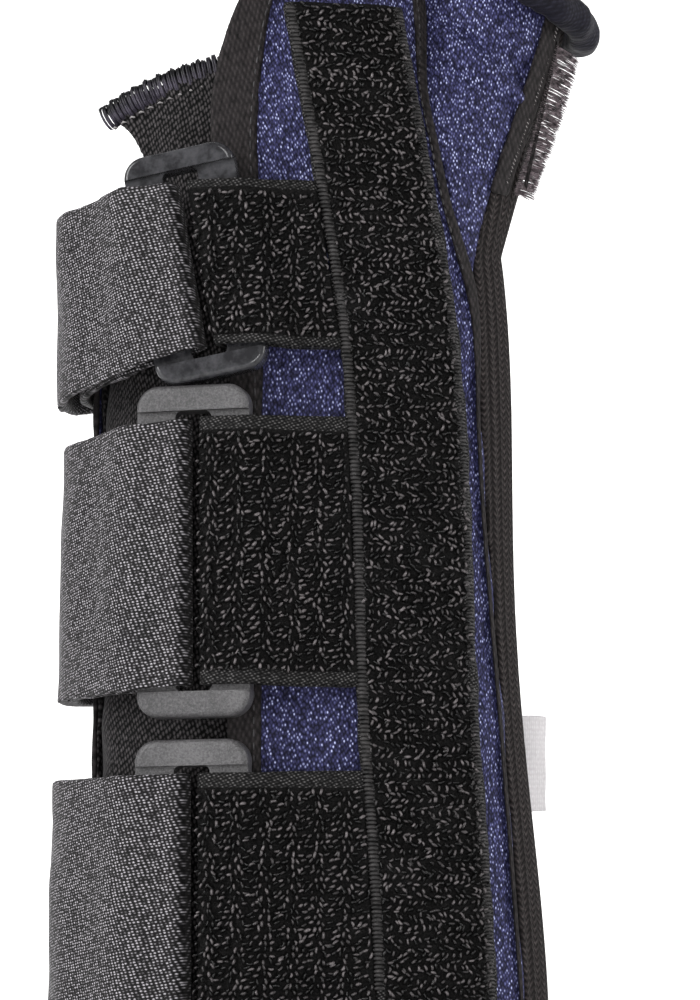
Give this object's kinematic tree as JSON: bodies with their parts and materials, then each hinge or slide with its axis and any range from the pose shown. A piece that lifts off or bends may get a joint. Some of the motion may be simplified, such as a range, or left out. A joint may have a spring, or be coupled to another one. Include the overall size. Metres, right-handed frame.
{
  "type": "wrist splint",
  "caption": "Wrist and thumb splint with a navy mesh shell, loop-pile stay strip, knit side panel and elastic straps drawn through plastic rings.",
  "frame": {"origin": "on the forearm hem's bottom plane, near the middle of the arm channel", "axes": "+Z from the forearm to the fingers, -Y the front with the stay strip, +X the thumb side"},
  "size_m": [0.1077, 0.0786, 0.2314],
  "materials": {
    "navy_mesh": "knitted mesh",
    "rib_knit": "rib knit",
    "lining": "brushed knit",
    "tape": "woven tape",
    "pile": "loop pile",
    "elastic": "woven elastic",
    "hook": "moulded hook tape",
    "ring_matt": "fine texture",
    "ring_gloss": "polished",
    "stay_metal": "satin",
    "label": "satin ribbon",
    "thread": "overlock stitches"
  },
  "bodies": {
    "splint": {"shell_front_panel": "navy_mesh", "thumb_gusset": "navy_mesh", "side_knit_panel": "rib_knit", "shell_back_panel": "navy_mesh", "liner": "lining", "opening_binding": "tape", "rear_edge_binding": "tape", "proximal_binding": "tape", "tongue_pad": "lining", "tongue_serged_edge": "thread", "stay_pocket_front": "pile", "stay_front": "stay_metal", "back_landing_strip": "pile", "stay_pocket_back": "tape", "seam_tape": "tape", "thumb_tape": "tape", "thumb_hook_strip": "hook", "thumb_collar": "navy_mesh", "care_label": "label", "elastic_strap_3": "elastic", "anchor_strap_3": "pile", "elastic_strap_2": "elastic", "anchor_strap_2": "pile", "elastic_strap_1": "elastic", "anchor_strap_1": "pile"},
    "ring_3": {"strap_ring_3": "ring_matt"},
    "tab_3": {"hook_tab_3": "hook"},
    "ring_2": {"strap_ring_2": "ring_matt"},
    "tab_2": {"hook_tab_2": "hook"},
    "ring_1": {"strap_ring_1": "ring_gloss"},
    "tab_1": {"hook_tab_1": "hook"},
    "back_stay": {"stay_back": "stay_metal"}
  },
  "joints": [
    {"name": "ring_3_swing", "type": "hinge", "parent": "splint", "child": "ring_3", "pos_m": [-0.01255, -0.03597, 0.03792], "axis": [-0.0076, 0.042, 0.9991], "range_deg": [-3, 3]},
    {"name": "tab_3_peel", "type": "hinge", "parent": "splint", "child": "tab_3", "pos_m": [-0.02733, 0.0298, 0.03746], "axis": [-0.0022, -0.0383, 0.9993], "range_deg": [0, 100]},
    {"name": "ring_2_swing", "type": "hinge", "parent": "splint", "child": "ring_2", "pos_m": [-0.01265, -0.03313, 0.10472], "axis": [-0.0078, 0.0421, 0.9991], "range_deg": [-3, 3]},
    {"name": "tab_2_peel", "type": "hinge", "parent": "splint", "child": "tab_2", "pos_m": [-0.02747, 0.02725, 0.10379], "axis": [-0.0022, -0.0383, 0.9993], "range_deg": [0, 100]},
    {"name": "ring_1_swing", "type": "hinge", "parent": "splint", "child": "ring_1", "pos_m": [-0.01288, -0.03075, 0.16079], "axis": [-0.1683, 0.0736, 0.983], "range_deg": [-3, 3]},
    {"name": "tab_1_peel", "type": "hinge", "parent": "splint", "child": "tab_1", "pos_m": [-0.02765, 0.02518, 0.15778], "axis": [-0.0059, -0.0383, 0.9992], "range_deg": [0, 100]},
    {"name": "stay_slide", "type": "slide", "parent": "splint", "child": "back_stay", "axis": [0, -0.0522, 0.9986], "range_m": [0, 0.165]}
  ]
}
